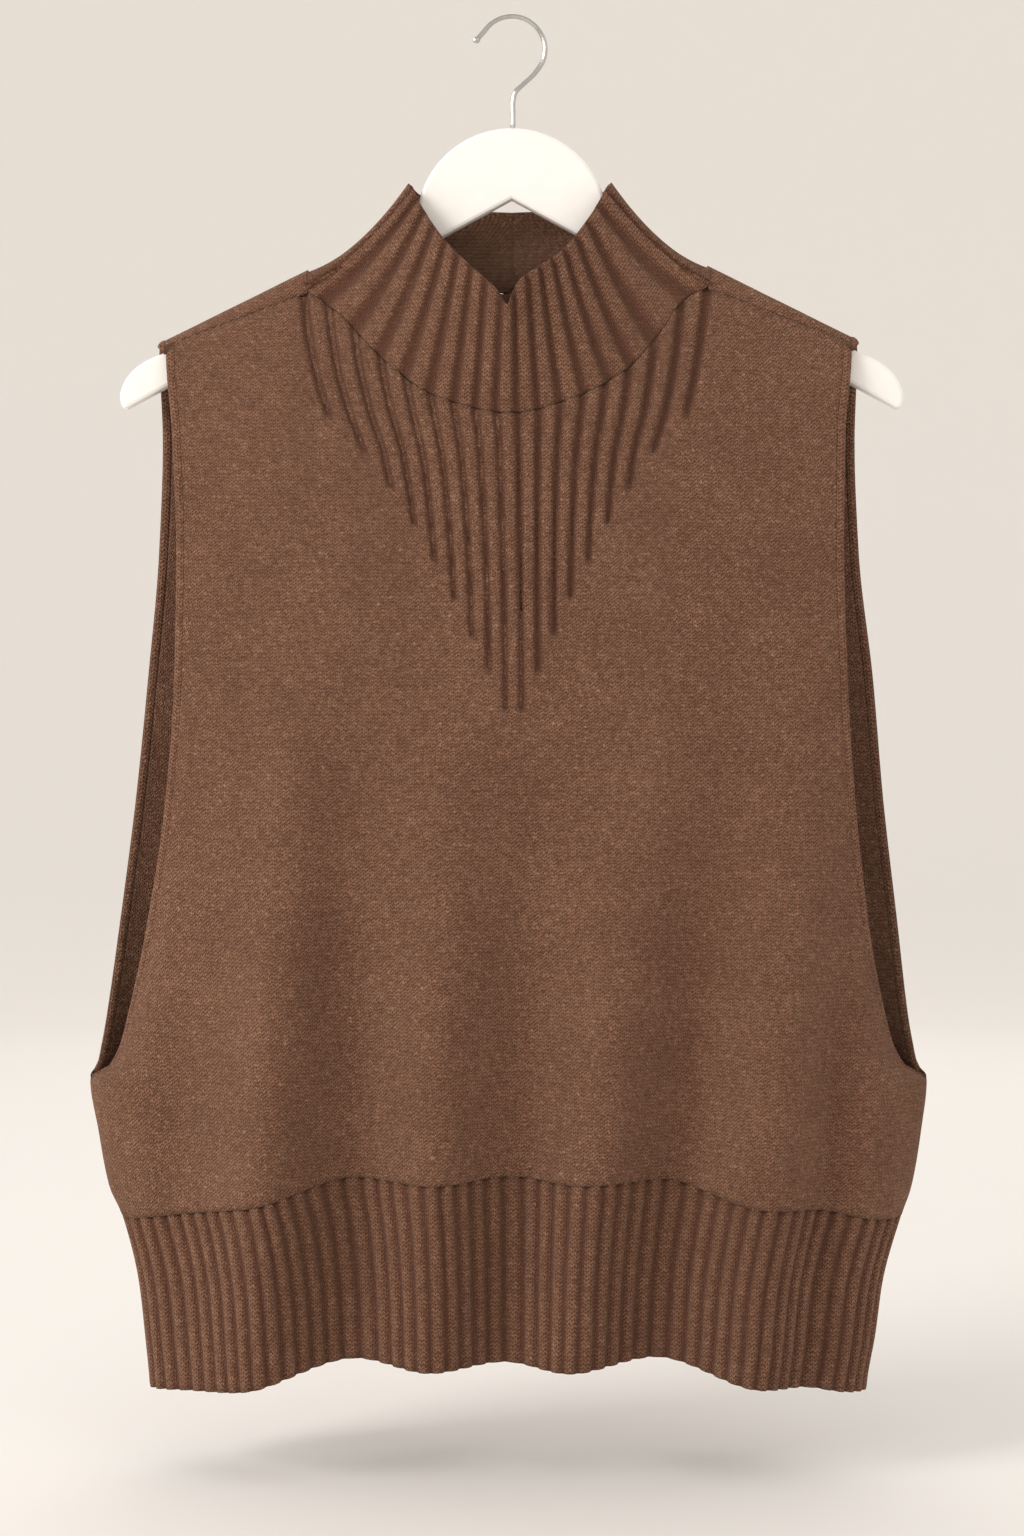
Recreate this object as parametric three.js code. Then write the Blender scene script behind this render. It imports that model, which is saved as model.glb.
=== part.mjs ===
// A knit tank top on a shirt hanger: felted wool panels, a ribbed funnel collar, a ribbed hem and
// a narrow knitted edge round each armhole. Millimetres, +Z up, the front faces -Y, +X is to the
// right seen from the front. The origin is under the top of the hook, where a rail carries it.
import * as THREE from "three";

// Cloth
const PANEL_WALL = 2.4; // felted stockinette
const RIB_WALL = 3; // collar and hem rib
const SEAM_GAP = 0.3; // left between pieces that are sewn together
const NECK_GAP = 1.1; // the same round the neck, where the facets of two curves meet
const BAND_WIDTH = 5; // knitted edge of an armhole
const BAND_WALL = 3;

// Shoulders, which lie over the hanger's arms
const RIDGE_RADIUS = 9.2; // bend of the cloth over an arm, outer face
const RIDGE_SLOPE = 0.4955; // fall of the shoulder for each mm outwards
const NECK = { left: -116.5, right: 111.5 }; // where the collar meets the shoulder
const RIDGE_AT_NECK = -140; // height of the shoulder there
const SEAM_DROP = { neck: 14, end: 5 }; // shoulder seam, this far below the ridge in front
const SETTLE = 90; // below the shoulder the cloth swings out over about this height
const ROUNDNESS = 6; // how square the body's plan is; 2 is an ellipse

// The body, level by level: each panel's side edge, how far it hangs out from the hanger's
// plane, and how much of that it loses at its side edge. Armholes end where tuck reaches 1.
const SECTIONS = [
  { z: -790, frontLeft: 203, frontRight: 199, backLeft: 203, backRight: 199, front: 36, back: 27, tuck: 1 },
  { z: -772, frontLeft: 203.8, frontRight: 199.6, backLeft: 203.8, backRight: 199.6, front: 36, back: 27, tuck: 1 },
  { z: -740, frontLeft: 206.8, frontRight: 204.8, backLeft: 206.8, backRight: 204.8, front: 35, back: 27, tuck: 1 },
  { z: -711, frontLeft: 210.2, frontRight: 208.8, backLeft: 210.2, backRight: 208.8, front: 34, back: 26, tuck: 1 },
  { z: -673, frontLeft: 219.7, frontRight: 219.5, backLeft: 219.7, backRight: 219.5, front: 35, back: 27, tuck: 1 },
  { z: -657, frontLeft: 226.8, frontRight: 225, backLeft: 226.8, backRight: 225, front: 36, back: 28, tuck: 1 },
  { z: -625, frontLeft: 233, frontRight: 230.5, backLeft: 233, backRight: 230.5, front: 37, back: 27, tuck: 1 },
  { z: -597, frontLeft: 237.5, frontRight: 233.6, backLeft: 237.5, backRight: 233.6, front: 37, back: 26, tuck: 1 },
  { z: -591, frontLeft: 227, frontRight: 222, backLeft: 233, backRight: 228, front: 37, back: 26, tuck: 0.99 },
  { z: -578, frontLeft: 218.5, frontRight: 212.8, backLeft: 229.5, backRight: 224.3, front: 37, back: 26, tuck: 0.95 },
  { z: -560, frontLeft: 212.5, frontRight: 206.7, backLeft: 226, backRight: 220.9, front: 37, back: 25, tuck: 0.88 },
  { z: -510, frontLeft: 199.7, frontRight: 195.2, backLeft: 218.7, backRight: 214.9, front: 36, back: 23, tuck: 0.7 },
  { z: -440, frontLeft: 188.2, frontRight: 186.5, backLeft: 209.4, backRight: 206.6, front: 35, back: 20, tuck: 0.55 },
  { z: -372, frontLeft: 183, frontRight: 181.9, backLeft: 202.2, backRight: 200.5, front: 34, back: 17, tuck: 0.45 },
  { z: -300, frontLeft: 181.9, frontRight: 179.9, backLeft: 195.5, backRight: 192, front: 32, back: 14, tuck: 0.35 },
  { z: -235, frontLeft: 184.8, frontRight: 181.2, backLeft: 193, backRight: 189.3, front: 30, back: 12, tuck: 0.2 },
  { z: -184, frontLeft: 189.3, frontRight: 185.7, backLeft: 194.7, backRight: 190.5, front: 28, back: 10, tuck: 0.05 },
  { z: -140, frontLeft: 189.3, frontRight: 185.7, backLeft: 194.7, backRight: 190.5, front: 26, back: 10, tuck: 0 },
];
const ARMHOLE_END = -597;
const STRAIGHT_ABOVE = -190; // above this level the wales of the panels hang plumb

// Soft folds: x under the arms and at the hem, half width, and reach out (+) or in (-).
const FRONT_FOLDS = [
  { high: -185, low: -190, width: 16, reach: -5 },
  { high: -131, low: -143, width: 25, reach: 20 },
  { high: -88, low: -86, width: 20, reach: -9 },
  { high: -40, low: -45, width: 23, reach: 17 },
  { high: 8, low: -4, width: 18, reach: -8 },
  { high: 54, low: 31, width: 23, reach: 16 },
  { high: 100, low: 79, width: 20, reach: -10 },
  { high: 148, low: 132, width: 25, reach: 19 },
  { high: 178, low: 163, width: 14, reach: -7 },
  { high: 205, low: 187, width: 15, reach: 7 },
];
const BACK_FOLDS = [
  { high: -150, low: -164, width: 27, reach: 14 },
  { high: -84, low: -96, width: 22, reach: -8 },
  { high: -30, low: -22, width: 30, reach: 13 },
  { high: 38, low: 52, width: 20, reach: -9 },
  { high: 96, low: 104, width: 26, reach: 15 },
  { high: 160, low: 158, width: 18, reach: -6 },
];
const FOLDS = { start: -330, full: -640, high: -580, low: -760 };

// Seam line between panel and hem rib, and the hem itself, across each panel.
const FRONT_HEM = [
  { x: -210, rib: -673, hem: -770 },
  { x: -143, rib: -662, hem: -761.5 },
  { x: -86, rib: -648, hem: -748 },
  { x: -45, rib: -650, hem: -751.5 },
  { x: -4, rib: -647, hem: -749.5 },
  { x: 31, rib: -650, hem: -752 },
  { x: 79, rib: -648.5, hem: -747.5 },
  { x: 132, rib: -662.5, hem: -760.5 },
  { x: 163, rib: -665, hem: -764 },
  { x: 206, rib: -673, hem: -772 },
];
const BACK_HEM = [
  { x: -210, rib: -673, hem: -770 },
  { x: -164, rib: -668, hem: -766 },
  { x: -96, rib: -661, hem: -759 },
  { x: -22, rib: -667, hem: -765 },
  { x: 52, rib: -661, hem: -758 },
  { x: 104, rib: -666, hem: -763 },
  { x: 206, rib: -673, hem: -772 },
];

// Seam line between the front panel and the collar, a deep U.
const NECKLINE = [
  { x: -116.5, z: -153.8 },
  { x: -97, z: -168 },
  { x: -71, z: -195.5 },
  { x: -42.6, z: -215.7 },
  { x: -1, z: -225.6 },
  { x: 38.7, z: -215 },
  { x: 64.4, z: -200 },
  { x: 84.8, z: -176.5 },
  { x: 93.4, z: -163 },
  { x: 111.5, z: -151.3 },
];
const BACK_NECK_DIP = 1.5; // the back neck seam sinks this much in the middle

// The collar rib by rib, from the middle of the back (-17), over the left shoulder (-9.5), the
// middle of the front (0) and the right shoulder, to the back again: x on the neck seam, the
// free edge, and how far the rib sags between them.
const COLLAR = [
  { rib: -17, base: 0, x: 0, y: 23, z: -106, sag: 0 },
  { rib: -14, base: -54, x: -27, y: 21, z: -105, sag: 1 },
  { rib: -11.5, base: -101, x: -48, y: 16, z: -99, sag: 5 },
  { rib: -10.5, base: -116.5, x: -55.5, y: 10.5, z: -95, sag: 5 },
  { rib: -9.5, base: -116.5, x: -58.6, y: 1.5, z: -92.5, sag: 8.5 },
  { rib: -8.5, base: -116.5, x: -56.5, y: -9.5, z: -97, sag: 5 },
  { rib: -6.5, base: -88, x: -49.5, y: -17, z: -111, sag: 4 },
  { rib: -4.5, base: -60, x: -37.5, y: -24, z: -129, sag: 3 },
  { rib: -2.5, base: -32, x: -23, y: -31, z: -144.5, sag: 1 },
  { rib: -0.8, base: -12.5, x: -9, y: -36, z: -158, sag: 0 },
  { rib: -0.1, base: -4.5, x: -3, y: -37.5, z: -166.5, sag: 0 },
  { rib: 0.7, base: 5, x: 3, y: -37, z: -155, sag: 0 },
  { rib: 2.5, base: 26.5, x: 16, y: -31, z: -144, sag: 1 },
  { rib: 4.5, base: 54, x: 29.5, y: -25, z: -133, sag: 3 },
  { rib: 6.5, base: 79.5, x: 42.5, y: -17.5, z: -116, sag: 4 },
  { rib: 8.5, base: 111.5, x: 53.5, y: -9.5, z: -97, sag: 5 },
  { rib: 9.5, base: 111.5, x: 56.4, y: 1.5, z: -92, sag: 8 },
  { rib: 10.5, base: 111.5, x: 53, y: 10.5, z: -95, sag: 5 },
  { rib: 11.5, base: 97, x: 46, y: 16, z: -99, sag: 5 },
  { rib: 14, base: 52, x: 26, y: 21, z: -105, sag: 1 },
  { rib: 17, base: 0, x: 0, y: 23, z: -106, sag: 0 },
];

// Hanger
const HANGER = {
  thick: 9.6, edge: 2, domeTop: -62.3, domeRadius: 54, notch: -102.3, underSlope: 0.545,
  armClear: 7, tipX: 220.5, tipTop: 197, tipZ: -212,
};
const HOOK = { wire: 1.45, ball: 2.1, radius: 18.6, sides: 8, neckX: 0.5 };

// How finely the cloth is cut up
const PANEL_COLUMNS = 32;
const EDGE_LEVELS = [-212, -245, -285, -325, -365, -405, -445, -485, -520, -548, -568, -582, -591];
const SIDE_ROWS = 4;
const RIDGE_ROWS = 5;
const HEM_ROWS = 4;
const COLLAR_COLUMNS = 50;
const COLLAR_ROWS = 6;
const LEVEL_STEP = 6;

// A column of a table at a place between its rows, on a curve that never overshoots them.
function read(table, key, column, at) {
  const last = table.length - 1;
  if (at <= table[0][key]) return table[0][column];
  if (at >= table[last][key]) return table[last][column];
  let i = 0;
  while (at > table[i + 1][key]) i += 1;
  const slope = (k) => (table[k + 1][column] - table[k][column]) / (table[k + 1][key] - table[k][key]);
  const tangent = (k) => {
    if (k === 0 || k === last) return slope(Math.min(k, last - 1));
    const before = slope(k - 1);
    const after = slope(k);
    return before * after <= 0 ? 0 : (2 * before * after) / (before + after);
  };
  const span = table[i + 1][key] - table[i][key];
  const t = (at - table[i][key]) / span;
  const rise = t * t * (3 - 2 * t);
  const leave = t * (1 - t) * (1 - t) * span * tangent(i);
  const arrive = t * t * (t - 1) * span * tangent(i + 1);
  return table[i][column] * (1 - rise) + table[i + 1][column] * rise + leave + arrive;
}

const smooth = (t) => {
  const s = Math.min(1, Math.max(0, t));
  return s * s * (3 - 2 * s);
};
const mix = THREE.MathUtils.lerp;
const ridge = (x) => RIDGE_AT_NECK - RIDGE_SLOPE * (Math.abs(x) - NECK.right);
const neckOn = (x) => (x < 0 ? NECK.left : NECK.right);

function halfWidth(side, x, z) {
  const panel = side < 0 ? "front" : "back";
  return read(SECTIONS, "z", panel + (x < 0 ? "Left" : "Right"), z);
}

// Distance of a panel's outer face from the hanger's plane; side is -1 in front, 1 behind.
function standOff(side, x, z) {
  const below = ridge(x) - z;
  const bend = Math.min(1, Math.max(0, below / RIDGE_RADIUS));
  const round = RIDGE_RADIUS * Math.sqrt(1 - (1 - bend) ** 2);
  const swing = 1 - Math.exp(-Math.max(0, below - RIDGE_RADIUS) / SETTLE);
  const hang = read(SECTIONS, "z", side < 0 ? "front" : "back", z) * swing;
  const share = Math.min(1, Math.abs(x) / halfWidth(side, x, z));
  const side_in = Math.sqrt(1 - read(SECTIONS, "z", "tuck", z) * share ** ROUNDNESS);
  const grown = smooth((FOLDS.start - z) / (FOLDS.start - FOLDS.full));
  const down = (FOLDS.high - z) / (FOLDS.high - FOLDS.low);
  let fold = 0;
  for (const row of side < 0 ? FRONT_FOLDS : BACK_FOLDS) {
    const off = (x - mix(row.high, row.low, down)) / row.width;
    fold += row.reach * Math.exp(-off * off);
  }
  return (round + hang) * side_in + fold * grown * (1 - share ** 8);
}

// Outward direction of a panel's face, measured over a short step inwards and downwards.
function facing(side, x, z) {
  const joined = read(SECTIONS, "z", "tuck", z) === 1;
  if (joined && Math.abs(x) > halfWidth(side, x, z) - 0.01) return new THREE.Vector3(Math.sign(x), 0, 0);
  const step = 0.05;
  const here = standOff(side, x, z);
  const inward = x < 0 ? step : -step;
  const slopeX = (standOff(side, x + inward, z) - here) / inward;
  const slopeZ = (here - standOff(side, x, z - step)) / step;
  return new THREE.Vector3(-slopeX, side, -slopeZ).normalize();
}

const onPanel = (side, x, z) => ({
  point: new THREE.Vector3(x, side * (standOff(side, x, z) + SEAM_GAP / 2), z),
  normal: facing(side, x, z),
});

// A point of the cloth over the shoulder, at a distance along it from the ridge; minus is in front.
function overRidge(x, along) {
  const angle = along / RIDGE_RADIUS;
  const side = Math.sign(along) || 1;
  if (Math.abs(angle) > Math.PI / 2) {
    const z = ridge(x) - RIDGE_RADIUS * (1 - Math.PI / 2) - Math.abs(along);
    return onPanel(side, x, z);
  }
  const y = RIDGE_RADIUS * Math.sin(angle);
  const z = ridge(x) - RIDGE_RADIUS * (1 - Math.cos(angle));
  const fall = RIDGE_SLOPE * Math.sign(x) * Math.cos(angle);
  return {
    point: new THREE.Vector3(x, y, z),
    normal: new THREE.Vector3(fall, Math.sin(angle), Math.cos(angle)).normalize(),
  };
}

// Distance from the ridge to the shoulder seam, measured along the cloth.
function seamAlong(x) {
  const end = halfWidth(-1, x, SECTIONS.at(-1).z);
  const out = (Math.abs(x) - Math.abs(neckOn(x))) / (end - Math.abs(neckOn(x)));
  const drop = mix(SEAM_DROP.neck, SEAM_DROP.end, Math.max(0, out));
  if (drop < RIDGE_RADIUS) return -RIDGE_RADIUS * Math.acos(1 - drop / RIDGE_RADIUS);
  return -(RIDGE_RADIUS * (Math.PI / 2 - 1) + drop);
}

// Columns of a panel keep equal widths of cloth at every level, as wales do.
const levels = new Map();
function columnX(side, share, z) {
  if (share === 0 || share === 1) return (2 * share - 1) * halfWidth(side, share - 0.5, Math.min(z, STRAIGHT_ABOVE));
  const at = Math.min(z, STRAIGHT_ABOVE);
  const low = Math.floor(at / LEVEL_STEP) * LEVEL_STEP;
  const pick = (level) => {
    const name = side + ":" + level;
    if (!levels.has(name)) levels.set(name, cutLevel(side, level));
    return levels.get(name)(share);
  };
  return mix(pick(low), pick(low + LEVEL_STEP), (at - low) / LEVEL_STEP);
}

function cutLevel(side, z) {
  const steps = 160;
  const table = [];
  let length = 0;
  let before = null;
  for (let i = 0; i <= steps; i += 1) {
    const t = Math.sin((Math.PI / 2) * (2 * i / steps - 1));
    const x = t * halfWidth(side, t, z);
    const y = standOff(side, x, z);
    if (before) length += Math.hypot(x - before.x, y - before.y);
    before = { x, y };
    table.push({ length, x });
  }
  return (share) => {
    const at = share * length;
    let i = 1;
    while (i < steps && table[i].length < at) i += 1;
    const gap = table[i].length - table[i - 1].length;
    return mix(table[i - 1].x, table[i].x, (at - table[i - 1].length) / gap);
  };
}

// Height where a column meets a line that is given across the panel.
function heightOn(side, share, line, from) {
  let z = from;
  for (let i = 0; i < 12; i += 1) z = line(columnX(side, share, z));
  return z;
}

const hemTable = (side) => (side < 0 ? FRONT_HEM : BACK_HEM);
const ribLine = (side) => (x) => read(hemTable(side), "x", "rib", x);
const hemLine = (side) => (x) => read(hemTable(side), "x", "hem", x);

function frontTop(x) {
  if (x > NECK.left && x < NECK.right) return read(NECKLINE, "x", "z", x) - NECK_GAP;
  return overRidge(x, seamAlong(x)).point.z - SEAM_GAP;
}

function backTop(x) {
  if (x < NECK.left || x > NECK.right) return ridge(x) - RIDGE_RADIUS;
  const corner = ridge(neckOn(x)) - RIDGE_RADIUS;
  return corner - BACK_NECK_DIP * (1 - (x / neckOn(x)) ** 2);
}

// One closed wall of cloth from a grid of points on its outer face. Cells can be left out, and a
// ring's last column joins its first.
function wall(grid, thickness, ring = false, kept = () => true) {
  const rows = grid.length;
  const columns = grid[0].length;
  const layer = rows * columns;
  const position = [];
  for (const row of grid) for (const { point } of row) position.push(point.x, point.y, point.z);
  for (const row of grid) {
    for (const { point, normal } of row) {
      const inner = point.clone().addScaledVector(normal, -thickness);
      position.push(inner.x, inner.y, inner.z);
    }
  }
  const cells = [];
  for (let r = 0; r < rows - 1; r += 1) {
    for (let c = 0; c < (ring ? columns : columns - 1); c += 1) {
      const next = (c + 1) % columns;
      if (kept(r, c)) cells.push([r * columns + c, (r + 1) * columns + c, (r + 1) * columns + next, r * columns + next]);
    }
  }
  const index = [];
  const quad = (a, b, c, d) => index.push(a, b, c, a, c, d);
  const edges = new Set();
  for (const [a, b, c, d] of cells) {
    quad(a, b, c, d);
    quad(d + layer, c + layer, b + layer, a + layer);
    for (const [p, q] of [[a, b], [b, c], [c, d], [d, a]]) edges.add(p + ">" + q);
  }
  for (const edge of edges) {
    const [p, q] = edge.split(">").map(Number);
    if (!edges.has(q + ">" + p)) quad(q, p, p + layer, q + layer);
  }
  return solid(position, index);
}

function solid(position, index) {
  const geometry = new THREE.BufferGeometry();
  geometry.setAttribute("position", new THREE.Float32BufferAttribute(position, 3));
  geometry.setIndex(index);
  return geometry;
}

// Closed rings of points joined in a row, either round in a loop or closed at both ends.
function skin(rings, loop) {
  const sides = rings[0].length;
  const position = rings.flat().flatMap((p) => [p.x, p.y, p.z]);
  const index = [];
  for (let i = 0; i < (loop ? rings.length : rings.length - 1); i += 1) {
    const here = i * sides;
    const there = ((i + 1) % rings.length) * sides;
    for (let k = 0; k < sides; k += 1) {
      const next = (k + 1) % sides;
      index.push(here + k, here + next, there + next, here + k, there + next, there + k);
    }
  }
  if (!loop) {
    const end = (rings.length - 1) * sides;
    for (let k = 1; k < sides - 1; k += 1) {
      index.push(0, k + 1, k, end, end + k, end + k + 1);
    }
  }
  return solid(position, index);
}

function cloth(name, colour, geometry) {
  geometry.computeVertexNormals();
  const material = new THREE.MeshStandardMaterial({ color: colour, roughness: 0.92, metalness: 0 });
  const mesh = new THREE.Mesh(geometry, material);
  mesh.name = name;
  return mesh;
}

// Levels of a panel's rows along its side edge, as shares of the way from top to rib line.
function rowShares(side) {
  const top = side < 0 ? -184 : -176;
  const bottom = ribLine(side)(-220);
  const below = Array.from({ length: SIDE_ROWS }, (_, i) => mix(ARMHOLE_END, bottom, (i + 1) / SIDE_ROWS));
  const heights = [top, ...EDGE_LEVELS, ARMHOLE_END, ...below];
  return heights.map((z) => (z - top) / (bottom - top));
}

const columnShares = Array.from({ length: PANEL_COLUMNS + 1 }, (_, i) => i / PANEL_COLUMNS);

// Rows of a panel from its top line down to the rib line. At its two edges a row lies exactly on
// the end of the armhole, so that front, back and armhole edge meet there.
function panelRows(side, shares, topLine) {
  const tops = shares.map((share) => heightOn(side, share, topLine, -200));
  const ends = shares.map((share) => heightOn(side, share, ribLine(side), -660));
  const armholeEnd = EDGE_LEVELS.length + 1;
  return rowShares(side).map((down, r) =>
    shares.map((share, c) => {
      const edge = c === 0 || c === shares.length - 1;
      const z = edge && r === armholeEnd ? ARMHOLE_END : mix(tops[c], ends[c] + SEAM_GAP, down);
      return onPanel(side, columnX(side, share, z), z);
    }),
  );
}

function frontPanel() {
  return panelRows(-1, columnShares, frontTop);
}

// The back goes over the shoulders to the seam in front; its neck lies between them.
function backPanel() {
  const shares = [...columnShares];
  const shareOf = (x) => {
    let low = 0;
    let high = 1;
    for (let i = 0; i < 40; i += 1) {
      const half = (low + high) / 2;
      if (columnX(1, half, 0) < x) low = half;
      else high = half;
    }
    return low;
  };
  const nearest = (x) => {
    const at = shareOf(x);
    const i = Math.round(at * PANEL_COLUMNS);
    shares[i] = at;
    return i;
  };
  const left = nearest(NECK.left);
  const right = nearest(NECK.right);
  const over = [];
  for (let r = 0; r < RIDGE_ROWS; r += 1) {
    over.push(
      shares.map((share) => {
        const x = columnX(1, share, 0);
        const start = seamAlong(x);
        return overRidge(x, mix(start, (RIDGE_RADIUS * Math.PI) / 2, r / RIDGE_ROWS));
      }),
    );
  }
  const grid = [...over, ...panelRows(1, shares, backTop)];
  const kept = (r, c) => r >= RIDGE_ROWS || c < left || c >= right;
  return { grid, kept };
}

// Collar: base on the neck seam, free edge from the table.
function collarBase(rib) {
  const x = read(COLLAR, "rib", "base", rib);
  const turn = Math.abs(rib);
  if (turn <= 8.5) return onPanel(-1, x, read(NECKLINE, "x", "z", x));
  if (turn >= 10.5) return onPanel(1, x, backTop(x));
  const start = seamAlong(x);
  return overRidge(x, mix(start, (RIDGE_RADIUS * Math.PI) / 2, (turn - 8.5) / 2));
}

function collarGrid() {
  const ends = { low: COLLAR[0].rib, high: COLLAR.at(-1).rib };
  const grid = [];
  for (let r = 0; r <= COLLAR_ROWS; r += 1) grid.push([]);
  for (let c = 0; c < COLLAR_COLUMNS; c += 1) {
    const rib = mix(ends.low, ends.high, c / COLLAR_COLUMNS);
    const base = collarBase(rib);
    const edge = new THREE.Vector3(...["x", "y", "z"].map((axis) => read(COLLAR, "rib", axis, rib)));
    const sag = read(COLLAR, "rib", "sag", rib);
    const start = base.point.clone();
    start.addScaledVector(edge.clone().sub(start).normalize(), NECK_GAP + SEAM_GAP);
    for (let r = 0; r <= COLLAR_ROWS; r += 1) {
      const up = r / COLLAR_ROWS;
      const point = start.clone().lerp(edge, up);
      point.y = mix(start.y, edge.y, smooth(up) * 0.5 + up * 0.5);
      point.z -= sag * 4 * up * (1 - up);
      grid[COLLAR_ROWS - r].push({ point, base: base.normal, up });
    }
  }
  grid.forEach((row, r) => {
    row.forEach((cell, c) => {
      const left = row[(c + COLLAR_COLUMNS - 1) % COLLAR_COLUMNS].point;
      const right = row[(c + 1) % COLLAR_COLUMNS].point;
      const above = grid[Math.max(0, r - 1)][c].point;
      const under = grid[Math.min(COLLAR_ROWS, r + 1)][c].point;
      const across = right.clone().sub(left);
      cell.normal = under.clone().sub(above).cross(across).normalize();
      cell.normal.lerp(cell.base, 1 - smooth(cell.up * 2)).normalize();
    });
  });
  return grid;
}

function hemRib(side) {
  const shares = columnShares;
  const tops = shares.map((share) => heightOn(side, share, ribLine(side), -660));
  const ends = shares.map((share) => heightOn(side, share, hemLine(side), -760));
  const grid = [];
  for (let r = 0; r <= HEM_ROWS; r += 1) {
    grid.push(
      shares.map((share, c) => {
        const z = mix(tops[c] - SEAM_GAP, ends[c], r / HEM_ROWS);
        return onPanel(side, columnX(side, share, z), z);
      }),
    );
  }
  return grid;
}

// The columns of a back grid run the other way round, so that its faces look outwards.
const turned = (grid) => grid.map((row) => [...row].reverse());

// Narrow edge round an armhole, from the edge points of the two panels moved out.
function armholeBand(front, back, last) {
  const column = (grid, rows) => grid.slice(0, rows).map((row) => row[last ? row.length - 1 : 0]);
  const armholeEnd = EDGE_LEVELS.length + 2;
  const down = column(front, armholeEnd);
  const up = column(back, armholeEnd + RIDGE_ROWS).reverse().slice(1);
  const path = [...down, ...up];
  const rings = path.map(({ point, normal }, i) => {
    const before = path[(i + path.length - 1) % path.length].point;
    const after = path[(i + 1) % path.length].point;
    const ahead = after.clone().sub(before).normalize();
    const out = ahead.clone().cross(normal).normalize().multiplyScalar(last ? -1 : 1);
    const proud = (BAND_WALL - PANEL_WALL) / 2;
    const corner = (reach, depth) =>
      point.clone().addScaledVector(out, reach).addScaledVector(normal, depth);
    const near = SEAM_GAP;
    const far = SEAM_GAP + BAND_WIDTH;
    const ring = [
      corner(near, proud),
      corner(far - 1, proud),
      corner(far, -BAND_WALL / 2 + proud),
      corner(far - 1, proud - BAND_WALL),
      corner(near, proud - BAND_WALL),
    ];
    return last ? ring.reverse() : ring;
  });
  return skin(rings, true);
}

function hangerBody() {
  const { thick, edge, domeTop, domeRadius, notch, underSlope, armClear, tipX, tipTop, tipZ } = HANGER;
  const armTop = (x) => ridge(x) - armClear;
  const shape = new THREE.Shape();
  const underTip = tipX - 5;
  const under = notch - underSlope * underTip;
  const neckX = domeRadius * 0.985;
  const neckZ = armTop(neckX + 6);
  const start = -Math.acos(0.985);
  const arcZ = domeTop - domeRadius + domeRadius * Math.sin(start);
  shape.moveTo(0, notch);
  shape.lineTo(underTip, under);
  shape.quadraticCurveTo(tipX, under - 2, tipX, tipZ);
  shape.quadraticCurveTo(tipX - 3, armTop(tipTop) - 7, tipTop, armTop(tipTop));
  shape.lineTo(neckX + 6, neckZ);
  shape.quadraticCurveTo(neckX + 1, neckZ + 3, neckX, arcZ);
  shape.absarc(0, domeTop - domeRadius, domeRadius, start, Math.PI - start, false);
  shape.quadraticCurveTo(-neckX - 1, neckZ + 3, -neckX - 6, neckZ);
  shape.lineTo(-tipTop, armTop(tipTop));
  shape.quadraticCurveTo(-tipX + 3, armTop(tipTop) - 7, -tipX, tipZ);
  shape.quadraticCurveTo(-tipX, under - 2, -underTip, under);
  const outline = shape.getPoints(14).filter((p, i, all) => p.distanceTo(all[(i + 1) % all.length]) > 0.05);
  const count = outline.length;
  const inset = (by) =>
    outline.map((p, i) => {
      const run = outline[(i + 1) % count].clone().sub(outline[(i + count - 1) % count]).normalize();
      return new THREE.Vector2(p.x - run.y * by, p.y + run.x * by);
    });
  const flat = thick / 2;
  const layers = [[-flat, edge], [-flat + edge * 0.3, edge * 0.3], [-flat + edge, 0]];
  layers.push(...layers.map(([y, by]) => [-y, by]).reverse());
  const position = layers.flatMap(([y, by]) => inset(by).flatMap((p) => [p.x, y, p.y]));
  const index = [];
  const last = (layers.length - 1) * count;
  for (let r = 0; r < layers.length - 1; r += 1) {
    for (let i = 0; i < count; i += 1) {
      const [a, b] = [r * count + i, r * count + ((i + 1) % count)];
      index.push(a, b + count, b, a, a + count, b + count);
    }
  }
  for (const [a, b, c] of THREE.ShapeUtils.triangulateShape(inset(edge), [])) {
    index.push(a, b, c, last + a, last + c, last + b);
  }
  return solid(position, index);
}

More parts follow.
